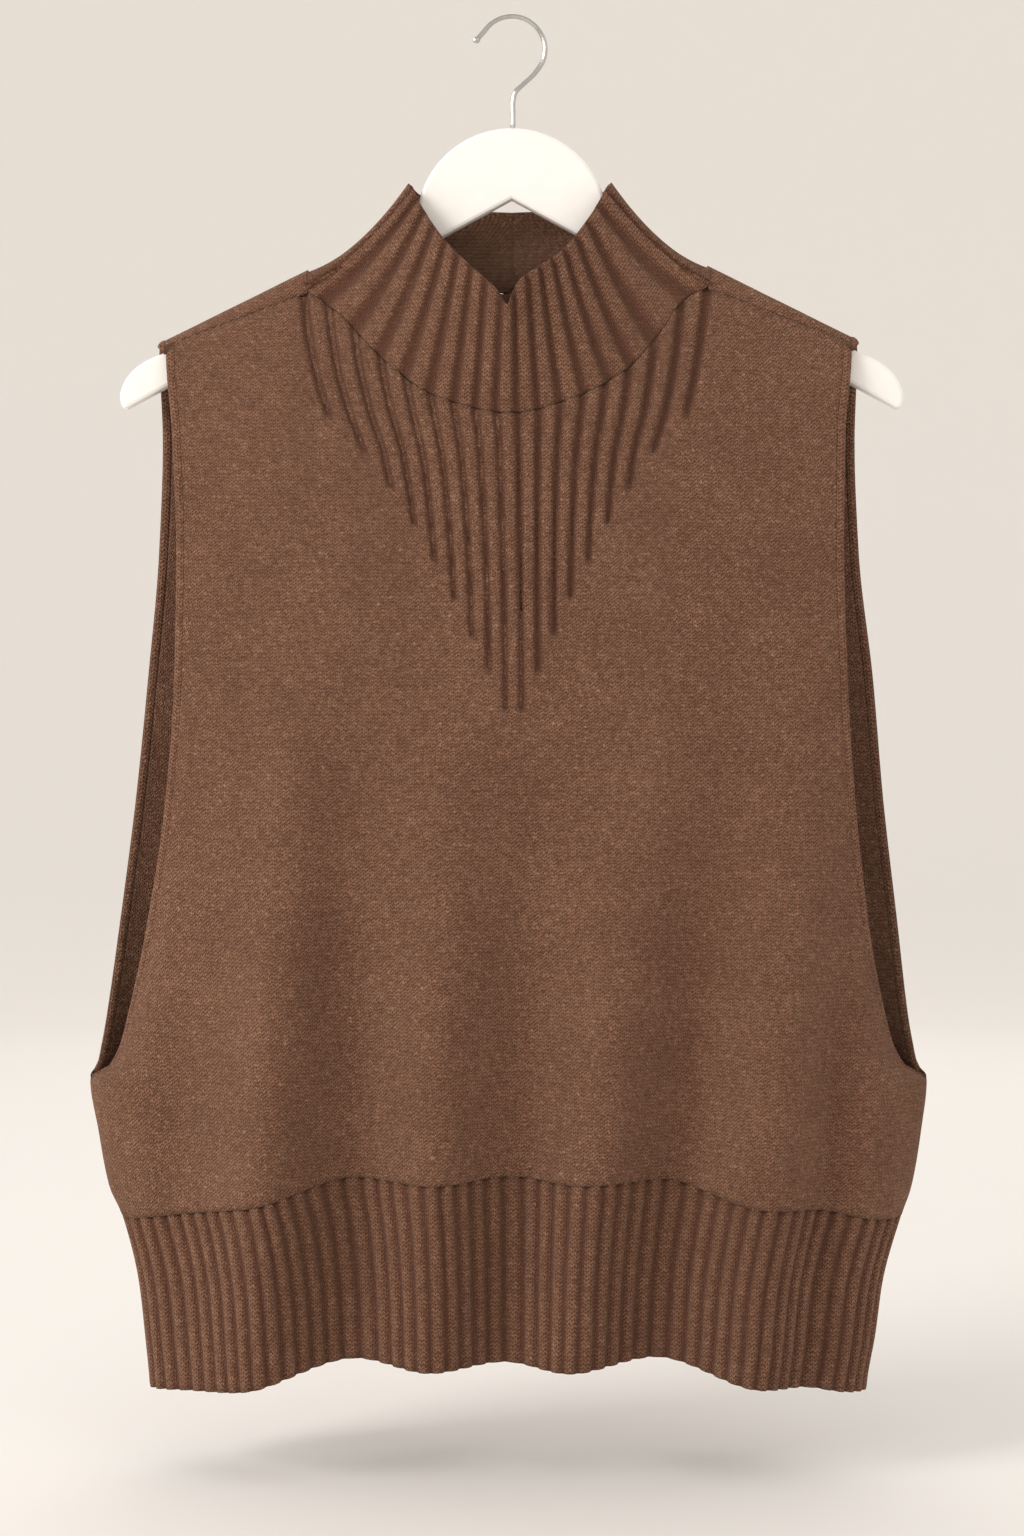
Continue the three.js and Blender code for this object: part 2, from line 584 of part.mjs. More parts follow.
// The wire hook: a straight stem, a sideways bend, three quarters of a turn and a small ball.
function hookWire() {
  const { wire, ball, radius, sides, neckX } = HOOK;
  const centreZ = wire - radius;
  const points = [
    new THREE.Vector3(neckX, 0, HANGER.domeTop + SEAM_GAP),
    new THREE.Vector3(neckX, 0, -54),
    new THREE.Vector3(neckX, 0, -47),
    new THREE.Vector3(1.8, 0, -41.5),
    new THREE.Vector3(6.4, 0, -36.8),
    new THREE.Vector3(12.6, 0, -31),
  ];
  for (let degrees = -22; degrees <= 150; degrees += 12) {
    const angle = THREE.MathUtils.degToRad(degrees);
    points.push(new THREE.Vector3(radius * Math.cos(angle), 0, centreZ + radius * Math.sin(angle)));
  }
  points.push(new THREE.Vector3(-18.6, 0, -10.4), new THREE.Vector3(-21.6, 0, -13.4));
  const route = new THREE.CatmullRomCurve3(points, false, "centripetal");
  const steps = 56;
  const length = route.getLength();
  const rings = [];
  for (let i = 0; i <= steps; i += 1) {
    const share = i < 50 ? (i / 50) * (1 - (2.2 * ball) / length) : 1 - ((steps - i) / 6) * ((2.2 * ball) / length);
    const left = (1 - share) * length;
    const swell = left < 2 * ball ? Math.sqrt(Math.max(0.01, ball ** 2 - (ball - left) ** 2)) : 0;
    const size = i === 0 ? wire * 0.8 : Math.max(left > ball ? wire : 0, swell);
    const centre = route.getPointAt(share);
    const ahead = route.getTangentAt(share);
    const across = new THREE.Vector3(0, 1, 0);
    const out = across.clone().cross(ahead);
    rings.push(
      Array.from({ length: sides }, (_, k) => {
        const angle = (2 * Math.PI * k) / sides;
        return centre.clone().addScaledVector(out, size * Math.cos(angle)).addScaledVector(across, size * Math.sin(angle));
      }),
    );
  }
  return skin(rings, false);
}

const front = frontPanel();
const back = backPanel();
const KNIT = 0x825c48;
const RIBBED = 0x7d5844;

const tankTop = new THREE.Group();
tankTop.add(
  cloth("front_panel", KNIT, wall(front, PANEL_WALL)),
  cloth("back_panel", KNIT, wall(turned(back.grid), PANEL_WALL, false, (r, c) => back.kept(r, PANEL_COLUMNS - 1 - c))),
  cloth("collar", RIBBED, wall(collarGrid(), RIB_WALL, true)),
  cloth("hem_rib_front", RIBBED, wall(hemRib(-1), RIB_WALL)),
  cloth("hem_rib_back", RIBBED, wall(turned(hemRib(1)), RIB_WALL)),
  cloth("armhole_band_left", RIBBED, armholeBand(front, back.grid, false)),
  cloth("armhole_band_right", RIBBED, armholeBand(front, back.grid, true)),
);

const hanger = new THREE.Group();
const paint = new THREE.MeshStandardMaterial({ color: 0xf7f2ec, roughness: 0.45, metalness: 0 });
const plate = new THREE.Mesh(hangerBody(), paint);
plate.geometry.computeVertexNormals();
plate.name = "hanger_body";
const steel = new THREE.MeshStandardMaterial({ color: 0xb9b6b0, roughness: 0.25, metalness: 1 });
const hook = new THREE.Mesh(hookWire(), steel);
hook.geometry.computeVertexNormals();
hook.name = "hanger_hook";
hanger.add(plate, hook);

const object = new THREE.Group();
object.add(tankTop, hanger);
export default object;
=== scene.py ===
import math

import bmesh
import bpy
import numpy as np
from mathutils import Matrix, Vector


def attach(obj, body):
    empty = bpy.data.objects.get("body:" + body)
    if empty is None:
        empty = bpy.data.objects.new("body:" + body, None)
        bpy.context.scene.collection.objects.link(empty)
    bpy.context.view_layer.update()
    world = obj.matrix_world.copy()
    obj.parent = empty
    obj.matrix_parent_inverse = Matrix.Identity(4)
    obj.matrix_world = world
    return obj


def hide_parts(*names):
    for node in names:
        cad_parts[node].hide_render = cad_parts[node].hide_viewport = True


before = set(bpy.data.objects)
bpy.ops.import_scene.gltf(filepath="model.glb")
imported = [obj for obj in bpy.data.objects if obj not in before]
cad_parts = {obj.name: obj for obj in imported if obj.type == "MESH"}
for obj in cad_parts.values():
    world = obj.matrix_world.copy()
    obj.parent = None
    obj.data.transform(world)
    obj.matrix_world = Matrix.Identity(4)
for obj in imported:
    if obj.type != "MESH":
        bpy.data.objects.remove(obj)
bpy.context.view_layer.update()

for shown in bpy.context.selected_objects:
    shown.select_set(False)

# Camera and studio: a pale bowl whose floor lies just under the hem, a large soft light from
# the front left, weaker ones from the right and from behind, and an even pale sky.
CAMERA_AWAY = 1.7
CAMERA_Z = -0.4223
LENS = 70.7
SENSOR_WIDTH = 36
FLOOR_Z = -0.815

camera_data = bpy.data.cameras.new("camera")
camera_data.lens = LENS
camera_data.sensor_width = SENSOR_WIDTH
camera = bpy.data.objects.new("camera", camera_data)
bpy.context.collection.objects.link(camera)
camera.location = (0, -CAMERA_AWAY, CAMERA_Z)
camera.rotation_euler = (math.radians(90), 0, 0)
bpy.context.scene.camera = camera


def srgb(red, green, blue):
    """A colour as the eye names it, 0 to 255, as the linear colour that a shader takes."""
    shares = [v / 255 for v in (red, green, blue)]
    return tuple(v / 12.92 if v <= 0.04045 else ((v + 0.055) / 1.055) ** 2.4 for v in shares) + (1.0,)


def plain_material(name, colour, roughness):
    material = bpy.data.materials.new(name)
    material.use_nodes = True
    shader = material.node_tree.nodes["Principled BSDF"]
    shader.inputs["Base Color"].default_value = colour
    shader.inputs["Roughness"].default_value = roughness
    return material


def surface(name, points, faces, material):
    """A smooth-shaded mesh object at the origin."""
    mesh = bpy.data.meshes.new(name)
    mesh.from_pydata([tuple(p) for p in points], [], faces)
    mesh.validate()
    mesh.polygons.foreach_set("use_smooth", [True] * len(mesh.polygons))
    made = bpy.data.objects.new(name, mesh)
    bpy.context.collection.objects.link(made)
    made.data.materials.append(material)
    return made


def studio_bowl():
    flat, curve, height, turns = 3.0, 1.6, 2.4, 64
    profile = [(0.01, 0), (1.0, 0), (flat, 0)]
    profile += [
        (flat + curve * math.sin(a), curve * (1 - math.cos(a)))
        for a in (math.radians(d) for d in range(10, 91, 10))
    ]
    profile.append((flat + curve, height))
    points = []
    for radius, rise in profile:
        for k in range(turns):
            angle = 2 * math.pi * k / turns
            points.append((radius * math.cos(angle), radius * math.sin(angle), FLOOR_Z + rise))
    faces = [tuple(range(turns))]
    for r in range(len(profile) - 1):
        for k in range(turns):
            n = (k + 1) % turns
            faces.append((r * turns + k, (r + 1) * turns + k, (r + 1) * turns + n, r * turns + n))
    return surface("studio_bowl", points, faces, plain_material("studio_paper", srgb(243, 238, 232), 0.95))


studio_bowl()


def soft_light(name, place, aim, size, power, colour):
    data = bpy.data.lights.new(name, "AREA")
    data.size = size
    data.energy = power
    data.color = colour
    made = bpy.data.objects.new(name, data)
    bpy.context.collection.objects.link(made)
    made.location = place
    made.rotation_euler = (Vector(aim) - Vector(place)).to_track_quat("-Z", "Y").to_euler()


soft_light("key", (-2.1, -1.4, 0.6), (0, 0, -0.45), 1.1, 42, (1.0, 0.985, 0.97))
soft_light("fill", (1.9, -2.0, 0.3), (0, 0, -0.45), 2.0, 5, (1.0, 0.98, 0.96))
soft_light("rear", (0.3, 2.4, 1.2), (0, 0, -0.4), 2.2, 12, (1.0, 0.98, 0.96))
world = bpy.data.worlds.new("sky")
world.use_nodes = True
world.node_tree.nodes["Background"].inputs["Color"].default_value = srgb(248, 247, 246)
world.node_tree.nodes["Background"].inputs["Strength"].default_value = 0.86
bpy.context.scene.world = world
bpy.context.scene.view_settings.view_transform = "Standard"

# Front panel: felted wool stockinette, knitted to shape with a ribbed yoke that narrows in
# steps to a point. It hangs from the shoulder seams and opens into soft folds below the chest.
MM = 0.001
PANEL_WALL = 2.4
RIB_WALL = 3.0
RIDGE_RADIUS = 9.2
RIDGE_SLOPE = 0.4955
NECK_LEFT, NECK_RIGHT = -116.5, 111.5
RIDGE_AT_NECK = -140
SETTLE = 90
ROUNDNESS = 6
SIDE_FADE = 8
ARMHOLE_END = -597
STRAIGHT_ABOVE = -190
FOLD_START, FOLD_FULL, FOLD_HIGH, FOLD_LOW = -330, -640, -580, -760
SEAM_GAP = 0.3
SEAM_DROP_AT_NECK, SEAM_DROP_AT_ARM = 14, 5
BACK_NECK_DIP = 1.5
BEND_LENGTH = RIDGE_RADIUS * math.pi / 2
EVEN_PART, SIDE_PART = 0.45, 0.55
PASSES = 12
FIRST_TOP, FIRST_RIB = -200, -660
FRONT_LEFT, FRONT_RIGHT, BACK_LEFT, BACK_RIGHT, FRONT_OUT, BACK_OUT, TUCK = range(1, 8)
SECTIONS = [  # z, front left, front right, back left, back right, front out, back out, tuck
    (-790, 203, 199, 203, 199, 36, 27, 1),
    (-772, 203.8, 199.6, 203.8, 199.6, 36, 27, 1),
    (-740, 206.8, 204.8, 206.8, 204.8, 35, 27, 1),
    (-711, 210.2, 208.8, 210.2, 208.8, 34, 26, 1),
    (-673, 219.7, 219.5, 219.7, 219.5, 35, 27, 1),
    (-657, 226.8, 225, 226.8, 225, 36, 28, 1),
    (-625, 233, 230.5, 233, 230.5, 37, 27, 1),
    (-597, 237.5, 233.6, 237.5, 233.6, 37, 26, 1),
    (-591, 227, 222, 233, 228, 37, 26, 0.99),
    (-578, 218.5, 212.8, 229.5, 224.3, 37, 26, 0.95),
    (-560, 212.5, 206.7, 226, 220.9, 37, 25, 0.88),
    (-510, 199.7, 195.2, 218.7, 214.9, 36, 23, 0.7),
    (-440, 188.2, 186.5, 209.4, 206.6, 35, 20, 0.55),
    (-372, 183, 181.9, 202.2, 200.5, 34, 17, 0.45),
    (-300, 181.9, 179.9, 195.5, 192, 32, 14, 0.35),
    (-235, 184.8, 181.2, 193, 189.3, 30, 12, 0.2),
    (-184, 189.3, 185.7, 194.7, 190.5, 28, 10, 0.05),
    (-140, 189.3, 185.7, 194.7, 190.5, 26, 10, 0),
]
FRONT_FOLDS = [  # high, low, width, reach
    (-185, -190, 16, -5),
    (-131, -143, 25, 20),
    (-88, -86, 20, -9),
    (-40, -45, 23, 17),
    (8, -4, 18, -8),
    (54, 31, 23, 16),
    (100, 79, 20, -10),
    (148, 132, 25, 19),
    (178, 163, 14, -7),
    (205, 187, 15, 7),
]
BACK_FOLDS = [  # high, low, width, reach
    (-150, -164, 27, 14),
    (-84, -96, 22, -8),
    (-30, -22, 30, 13),
    (38, 52, 20, -9),
    (96, 104, 26, 15),
    (160, 158, 18, -6),
]
RIB_LINE, HEM_LINE = 1, 2
FRONT_HEM = [  # x, rib line, hem line
    (-210, -673, -770),
    (-143, -662, -761.5),
    (-86, -648, -748),
    (-45, -650, -751.5),
    (-4, -647, -749.5),
    (31, -650, -752),
    (79, -648.5, -747.5),
    (132, -662.5, -760.5),
    (163, -665, -764),
    (206, -673, -772),
]
BACK_HEM = [  # x, rib line, hem line
    (-210, -673, -770),
    (-164, -668, -766),
    (-96, -661, -759),
    (-22, -667, -765),
    (52, -661, -758),
    (104, -666, -763),
    (206, -673, -772),
]
NECKLINE = [  # x, z
    (-116.5, -153.8),
    (-97, -168),
    (-71, -195.5),
    (-42.6, -215.7),
    (-1, -225.6),
    (38.7, -215),
    (64.4, -200),
    (84.8, -176.5),
    (93.4, -163),
    (111.5, -151.3),
]


def read(table, column, at):
    """A column of a table between its rows, on a curve that never overshoots them."""
    rows = np.array(table, float)
    keys, values = rows[:, 0], rows[:, column]
    at = np.clip(np.asarray(at, float), keys[0], keys[-1])
    slope = np.diff(values) / np.diff(keys)
    tangent = np.zeros(len(keys))
    tangent[0], tangent[-1] = slope[0], slope[-1]
    before, after = slope[:-1], slope[1:]
    same = before * after > 0
    tangent[1:-1][same] = 2 * before[same] * after[same] / (before[same] + after[same])
    i = np.clip(np.searchsorted(keys, at, side="right") - 1, 0, len(keys) - 2)
    span = keys[i + 1] - keys[i]
    t = (at - keys[i]) / span
    rise = t * t * (3 - 2 * t)
    leave = t * (1 - t) ** 2 * span * tangent[i]
    arrive = t * t * (t - 1) * span * tangent[i + 1]
    return values[i] * (1 - rise) + values[i + 1] * rise + leave + arrive


def smooth(t):
    t = np.clip(t, 0, 1)
    return t * t * (3 - 2 * t)


def ridge(x):
    return RIDGE_AT_NECK - RIDGE_SLOPE * (np.abs(x) - NECK_RIGHT)


def half_width(side, x, z):
    left, right = (FRONT_LEFT, FRONT_RIGHT) if side < 0 else (BACK_LEFT, BACK_RIGHT)
    return np.where(np.asarray(x) < 0, read(SECTIONS, left, z), read(SECTIONS, right, z))


def stand_off(side, x, z):
    """How far a panel's outer face stands from the hanger's plane."""
    below = ridge(x) - z
    bend = np.clip(below / RIDGE_RADIUS, 0, 1)
    round_part = RIDGE_RADIUS * np.sqrt(1 - (1 - bend) ** 2)
    swing = 1 - np.exp(-np.maximum(0, below - RIDGE_RADIUS) / SETTLE)
    hang = read(SECTIONS, FRONT_OUT if side < 0 else BACK_OUT, z) * swing
    share = np.minimum(1, np.abs(x) / half_width(side, x, z))
    drawn = np.sqrt(np.maximum(0, 1 - read(SECTIONS, TUCK, z) * share**ROUNDNESS))
    grown = smooth((FOLD_START - z) / (FOLD_START - FOLD_FULL))
    down = (FOLD_HIGH - z) / (FOLD_HIGH - FOLD_LOW)
    fold = 0
    for high, low, width, reach in FRONT_FOLDS if side < 0 else BACK_FOLDS:
        fold = fold + reach * np.exp(-(((x - high - (low - high) * down) / width) ** 2))
    return (round_part + hang) * drawn + fold * grown * (1 - share**SIDE_FADE)


def even_shares(count):
    """From -1 to 1, closer together towards the sides, where the cloth turns."""
    u = np.linspace(-1, 1, count)
    return EVEN_PART * u + SIDE_PART * np.sin(u * math.pi / 2)


def column_x(side, u, z):
    return u * half_width(side, u, np.minimum(z, STRAIGHT_ABOVE))


def height_on(side, u, line, start):
    """Where columns meet a line. A column's x and z depend on each other, so it repeats."""
    z = np.full(len(u), float(start))
    for _ in range(PASSES):
        z = line(column_x(side, u, z))
    return z


def seam_along(x):
    """How far in front of the ridge, along the cloth, the shoulder seam lies."""
    neck = np.where(x < 0, -NECK_LEFT, NECK_RIGHT)
    out = (np.abs(x) - neck) / (half_width(-1, x, RIDGE_AT_NECK) - neck)
    drop = SEAM_DROP_AT_NECK + (SEAM_DROP_AT_ARM - SEAM_DROP_AT_NECK) * np.maximum(0, out)
    bent = np.arccos(np.clip(1 - drop / RIDGE_RADIUS, -1, 1))
    return np.where(drop < RIDGE_RADIUS, -RIDGE_RADIUS * bent, -(RIDGE_RADIUS * (math.pi / 2 - 1) + drop))


def over_ridge(x, along):
    """Points of the cloth over the shoulder, at a distance along it from the ridge."""
    angle = along / RIDGE_RADIUS
    bent = np.abs(angle) <= math.pi / 2
    low = ridge(x) - RIDGE_RADIUS * (1 - math.pi / 2) - np.abs(along)
    z = np.where(bent, ridge(x) - RIDGE_RADIUS * (1 - np.cos(angle)), low)
    side = np.sign(along)
    flat_y = np.where(side < 0, -stand_off(-1, x, low), stand_off(1, x, low))
    y = np.where(bent, RIDGE_RADIUS * np.sin(angle), flat_y)
    return np.stack([x, y, z], -1)


def front_top(x):
    seam = over_ridge(x, seam_along(x))[..., 2] - SEAM_GAP
    return np.where((x > NECK_LEFT) & (x < NECK_RIGHT), read(NECKLINE, 1, x) - SEAM_GAP / 2, seam)


def back_top(x):
    neck = np.where(x < 0, NECK_LEFT, NECK_RIGHT)
    corner = ridge(neck) - RIDGE_RADIUS
    inside = (x > NECK_LEFT) & (x < NECK_RIGHT)
    return np.where(inside, corner - BACK_NECK_DIP * (1 - (x / neck) ** 2), ridge(x) - RIDGE_RADIUS)


def facing(grid, outward, ring=False):
    """Unit normals of a grid of points, turned to the side that outward names."""
    if ring:
        across = np.roll(grid, -1, 1) - np.roll(grid, 1, 1)
    else:
        across = np.gradient(grid, axis=1)
    normal = np.cross(across, np.gradient(grid, axis=0))
    normal /= np.maximum(np.linalg.norm(normal, axis=-1, keepdims=True), 1e-9)
    return normal if np.sum(normal * outward) > 0 else -normal


def cloth(name, grid, normal, relief, wall, material, ring=False, kept=None):
    """A closed wall of cloth. relief is the height of the knit's ribs on its outer face; the
    stitch map counts millimetres along each row and in height."""
    rows, columns = grid.shape[:2]
    outer = grid + normal * relief[..., None]
    inner = grid - normal * wall
    points = np.concatenate([outer.reshape(-1, 3), inner.reshape(-1, 3)]) * MM
    layer = rows * columns
    span = columns if ring else columns - 1
    r, c = np.meshgrid(np.arange(rows - 1), np.arange(span), indexing="ij")
    if kept is not None:
        r, c = r[kept], c[kept]
    a, b = r * columns + c, (r + 1) * columns + c
    after = (c + 1) % columns
    cells = np.stack([a, b, (r + 1) * columns + after, r * columns + after], -1).reshape(-1, 4)
    p = outer.reshape(-1, 3)[cells[0]]
    if np.dot(np.cross(p[1] - p[0], p[3] - p[0]), normal.reshape(-1, 3)[cells[0, 0]]) < 0:
        cells = cells[:, ::-1]
    edges = {(int(cell[k]), int(cell[(k + 1) % 4])) for cell in cells for k in range(4)}
    rim = [(q, p, p + layer, q + layer) for p, q in edges if (q, p) not in edges]
    faces = cells.tolist() + (cells[:, ::-1] + layer).tolist() + sorted(rim)
    made = surface(name, points, faces, material)
    # The furrow depth kept on the outer points drives the shade painted into the rib furrows.
    depth = made.data.attributes.new(name="furrow", type="FLOAT", domain="POINT")
    sunk = np.concatenate([-relief.ravel(), np.zeros(layer)])
    depth.data.foreach_set("value", sunk.astype(np.float32))
    stitches = made.data.uv_layers.new(name="stitches")
    length = np.zeros((rows, columns))
    length[:, 1:] = np.cumsum(np.linalg.norm(np.diff(grid, axis=1), axis=-1), axis=1)
    length -= length[:, columns // 2, None]
    uv = np.stack([length, grid[..., 2]], -1).reshape(-1, 2)
    uv = np.concatenate([uv, uv])
    corner = np.zeros(len(made.data.loops), int)
    made.data.loops.foreach_get("vertex_index", corner)
    stitches.data.foreach_set("uv", uv[corner].astype(np.float32).ravel())
    used = np.unique(corner)
    if len(used) < len(points):
        shape = bmesh.new()
        shape.from_mesh(made.data)
        loose = [v for v in shape.verts if not v.link_faces]
        bmesh.ops.delete(shape, geom=loose, context="VERTS")
        shape.to_mesh(made.data)
        shape.free()
    return made


class Nodes:
    """Short hand for wiring a material's nodes."""

    def __init__(self, name):
        self.material = bpy.data.materials.new(name)
        self.material.use_nodes = True
        self.tree = self.material.node_tree
        self.shader = self.tree.nodes["Principled BSDF"]

    def add(self, kind, **values):
        node = self.tree.nodes.new(kind)
        for key, value in values.items():
            setattr(node, key, value)
        return node

    def link(self, source, target):
        self.tree.links.new(source, target)

    def math(self, operation, first, second=None):
        node = self.add("ShaderNodeMath", operation=operation)
        for socket, value in zip(node.inputs, (first, second)):
            if value is None:
                continue
            if isinstance(value, (int, float)):
                socket.default_value = value
            else:
                self.link(value, socket)
        return node.outputs[0]


# Rows that a stitch's arms climb and wander, how deep its loops and grooves are, what raises
# the surface, and what lightens or darkens its colour: painted shade in the stitch grooves,
# mixed with random fibre flecks, random clouds of tone, and painted shade in the rib furrows.
FULL_TURN = 2 * math.pi
SLANT, WANDER_UP = 1.3, 1.4
LOOP_DEPTH, LOOP_MIDDLE, GROOVE_DEPTH = 0.25, 0.5, 0.28
STITCH_HEIGHT, CLUMP_HEIGHT, FIBRE_HEIGHT = 0.8, 0.75, 0.4
GROOVE_SHADE_AND_FLECKS, CLOUD_TONE, FURROW_PAINTED_SHADE = 0.55, 0.14, 0.085


def knit_material(name, shade, wale, course, fuzz):
    """Brushed wool: columns of slanted stitches from the stitch map, broken up by felting; shade is
    painted into the grooves and furrows.
    """
    n = Nodes(name)
    uv = n.add("ShaderNodeUVMap", uv_map="stitches").outputs[0]
    place = n.add("ShaderNodeTexCoord").outputs["Object"]

    def noise(source, scale, detail, roughness=0.6):
        node = n.add("ShaderNodeTexNoise")
        node.inputs["Scale"].default_value = scale
        node.inputs["Detail"].default_value = detail
        node.inputs["Roughness"].default_value = roughness
        n.link(source, node.inputs["Vector"])
        return node.outputs["Fac"]

    parts = n.add("ShaderNodeSeparateXYZ")
    n.link(uv, parts.inputs[0])
    wander = n.math("MULTIPLY", n.math("SUBTRACT", noise(uv, 0.22, 2), 0.5), fuzz)
    across = n.math("ADD", n.math("DIVIDE", parts.outputs[0], wale), wander)
    arm = n.math("ABSOLUTE", n.math("SUBTRACT", n.math("FRACT", across), 0.5))
    row = n.math("ADD", n.math("DIVIDE", parts.outputs[1], course), n.math("MULTIPLY", arm, SLANT))
    row = n.math("ADD", row, n.math("MULTIPLY", wander, WANDER_UP))
    wave = n.math("SINE", n.math("MULTIPLY", row, FULL_TURN))
    loop = n.math("ADD", n.math("MULTIPLY", wave, LOOP_DEPTH), LOOP_MIDDLE)
    off_arm = n.math("ABSOLUTE", n.math("SUBTRACT", arm, 0.25))
    groove = n.math("SINE", n.math("MULTIPLY", off_arm, FULL_TURN))
    stitch = n.math("SUBTRACT", loop, n.math("MULTIPLY", groove, GROOVE_DEPTH))
    fibre = noise(place, 900, 4, 0.7)
    clump = noise(place, 330, 3)
    cloud = noise(place, 22, 4)
    height = n.math("MULTIPLY", stitch, STITCH_HEIGHT)
    height = n.math("ADD", height, n.math("MULTIPLY", clump, CLUMP_HEIGHT))
    height = n.math("ADD", height, n.math("MULTIPLY", fibre, FIBRE_HEIGHT))
    # Painted shade: the colour is lighter on the loop tops and darker in the stitch grooves, mixed with
    # random flecks from the fibre and clump noise.
    tone = n.math("MULTIPLY", height, GROOVE_SHADE_AND_FLECKS)
    tone = n.math("ADD", tone, n.math("MULTIPLY", cloud, CLOUD_TONE))
    # Painted shade: the colour darkens in the furrows between the raised ribs.
    sunk = n.add("ShaderNodeAttribute", attribute_name="furrow").outputs["Fac"]
    tone = n.math("SUBTRACT", tone, n.math("MULTIPLY", sunk, FURROW_PAINTED_SHADE))
    ramp = n.add("ShaderNodeValToRGB")
    n.link(tone, ramp.inputs[0])
    stops = (
        (0.42, (82, 52, 39)),
        (0.58, (112, 80, 62)),
        (0.72, (138, 103, 83)),
        (0.88, (176, 142, 118)),
    )
    while len(ramp.color_ramp.elements) < len(stops):
        ramp.color_ramp.elements.new(0.5)
    for element, (at, colour) in zip(ramp.color_ramp.elements, stops):
        element.position = at
        element.color = srgb(*(v * shade for v in colour))
    n.link(ramp.outputs[0], n.shader.inputs["Base Color"])
    bump = n.add("ShaderNodeBump")
    bump.inputs["Strength"].default_value = 1.0
    bump.inputs["Distance"].default_value = 0.002
    n.link(height, bump.inputs["Height"])
    n.link(bump.outputs[0], n.shader.inputs["Normal"])
    n.shader.inputs["Roughness"].default_value = 0.95
    n.shader.inputs["Specular IOR Level"].default_value = 0.2
    n.shader.inputs["Sheen Weight"].default_value = 0.25
    n.shader.inputs["Sheen Roughness"].default_value = 0.5
    n.shader.inputs["Sheen Tint"].default_value = srgb(214, 178, 150)
    return n.material


wool = knit_material("felted_wool", shade=1.2, wale=2.6, course=2.0, fuzz=1.6)

RIB_DEPTH = 2.4
FURROW_FROM, FURROW_EDGE = 0.22, 0.16
YOKE_MIDDLE, YOKE_RIB_WIDTH = 1, 2
YOKE = [  # z, x of the middle rib, width of a rib
    (-395, 0.9, 9.0),
    (-375, 0.9, 9.0),
    (-330, 0.3, 9.2),
    (-290, -0.5, 9.7),
    (-250, -1.5, 10.6),
    (-222, -2.6, 11.8),
    (-195, -3.5, 12.6),
    (-150, -4.0, 13.4),
]


def rib_profile(position, depth):
    """Raised ribs with narrower furrows between them; position counts ribs."""
    off = np.abs(position - np.round(position))
    return -depth * smooth((off - FURROW_FROM) / FURROW_EDGE)


YOKE_POINT, YOKE_STEP, YOKE_FURROWS, YOKE_FADE = -392, 20.5, 9, 3


def yoke_relief(x, z):
    rib = (x - read(YOKE, YOKE_MIDDLE, z)) / read(YOKE, YOKE_RIB_WIDTH, z)
    furrow = np.floor(np.abs(rib))
    ends = YOKE_POINT + YOKE_STEP * furrow
    inside = smooth((z - ends) / YOKE_FADE) * (furrow < YOKE_FURROWS)
    return rib_profile(rib, RIB_DEPTH) * inside


def panel(side, columns, rows):
    u = even_shares(columns)
    top = height_on(side, u, front_top if side < 0 else back_top, FIRST_TOP)
    table = FRONT_HEM if side < 0 else BACK_HEM
    low = height_on(side, u, lambda x: read(table, RIB_LINE, x), FIRST_RIB) + SEAM_GAP / 3
    down = np.linspace(0, 1, rows)[:, None]
    z = top + (low - top) * down
    edge_end = (ARMHOLE_END - top[[0, -1]]) / (low[[0, -1]] - top[[0, -1]])
    for column, share in zip((0, -1), edge_end):
        z[int(round(share * (rows - 1))), column] = ARMHOLE_END
    x = column_x(side, u[None, :], z)
    y = side * (stand_off(side, x, z) + SEAM_GAP / 2)
    return np.stack([x, y, z], -1)


FRONT_COLUMNS, FRONT_ROWS = 331, 120
front = panel(-1, FRONT_COLUMNS, FRONT_ROWS)
front_normal = facing(front, (0, -1, 0))
front_piece = cloth(
    "front", front, front_normal, yoke_relief(front[..., 0], front[..., 2]), PANEL_WALL, wool
)
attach(front_piece, "root")
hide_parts("front_panel")

# Back panel: the same cloth without a yoke. It is cut higher and laid over the shoulders, so
# that its seam to the front shows below the ridge.
BACK_COLUMNS, BACK_ROWS, OVER_ROWS = 181, 110, 12
back = panel(1, BACK_COLUMNS, BACK_ROWS)
share = np.linspace(0, 1, OVER_ROWS, endpoint=False)[:, None]
top_x = back[0, :, 0][None, :]
start = seam_along(top_x)
over = over_ridge(np.repeat(top_x, OVER_ROWS, 0), start + (BEND_LENGTH - start) * share)
back = np.concatenate([over, back])
back_normal = facing(back[OVER_ROWS:], (0, 1, 0))
over_normal = facing(over, (0, 0, 1))
back_normal = np.concatenate([over_normal, back_normal])
kept = np.ones((back.shape[0] - 1, back.shape[1] - 1), bool)
middle = (top_x[0, :-1] > NECK_LEFT) & (top_x[0, 1:] < NECK_RIGHT)
kept[:OVER_ROWS, middle] = False
back_piece = cloth("back", back, back_normal, np.zeros(back.shape[:2]), PANEL_WALL, wool, kept=kept)
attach(back_piece, "root")
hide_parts("back_panel")

